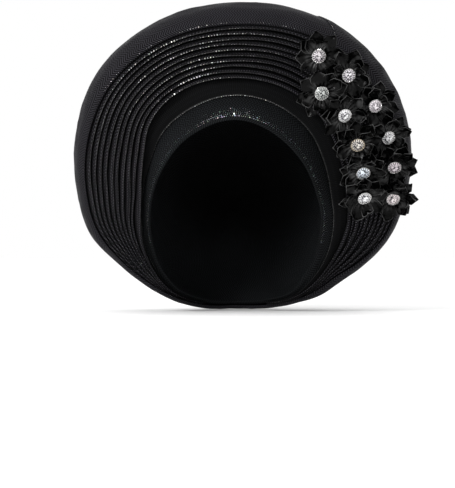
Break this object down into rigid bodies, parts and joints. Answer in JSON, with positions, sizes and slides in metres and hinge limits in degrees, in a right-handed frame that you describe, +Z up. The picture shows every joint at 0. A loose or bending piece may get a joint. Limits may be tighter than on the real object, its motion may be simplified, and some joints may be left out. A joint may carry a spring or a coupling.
{
  "type": "tied gele head tie",
  "caption": "Gele head tie with a fitted cap, a fan of stepped pleats round the face, a rolled hood gathered behind the head, and a spray of ribbon flowers with cut stones.",
  "frame": {"origin": "highest point inside the cap, where it rests on the crown of the head", "axes": "+Z up the head, -Y the way the wearer faces, +X on the wearer's left, where the spray of flowers is"},
  "size_m": [0.2817, 0.1929, 0.257],
  "materials": {
    "cap_cloth": "near-black woven cloth, dull",
    "fold_cloth": "near-black woven cloth with a faint sheen",
    "fan_cloth": "near-black woven cloth with a fine glitter thread on the pleat edges",
    "hood_cloth": "near-black open weave with a soft sheen",
    "ribbon_satin": "black satin ribbon with sealed edges",
    "silver_cup": "bright plated metal",
    "crystal": "clear cut stone with a foil back"
  },
  "bodies": {
    "root": {"head_cap": "cap_cloth", "front_fold": "fold_cloth", "pleated_fan": "fan_cloth", "outer_hood": "hood_cloth", "flower_01": "ribbon_satin", "stone_cup_01": "silver_cup", "stone_01": "crystal", "flower_02": "ribbon_satin", "stone_cup_02": "silver_cup", "stone_02": "crystal", "flower_03": "ribbon_satin", "stone_cup_03": "silver_cup", "stone_03": "crystal", "flower_04": "ribbon_satin", "stone_cup_04": "silver_cup", "stone_04": "crystal", "flower_05": "ribbon_satin", "stone_cup_05": "silver_cup", "stone_05": "crystal", "flower_06": "ribbon_satin", "stone_cup_06": "silver_cup", "stone_06": "crystal", "flower_07": "ribbon_satin", "stone_cup_07": "silver_cup", "stone_07": "crystal", "flower_08": "ribbon_satin", "stone_cup_08": "silver_cup", "stone_08": "crystal", "flower_09": "ribbon_satin", "stone_cup_09": "silver_cup", "stone_09": "crystal", "flower_10": "ribbon_satin", "stone_cup_10": "silver_cup", "stone_10": "crystal", "flower_11": "ribbon_satin", "stone_cup_11": "silver_cup", "stone_11": "crystal"}
  },
  "joints": []
}
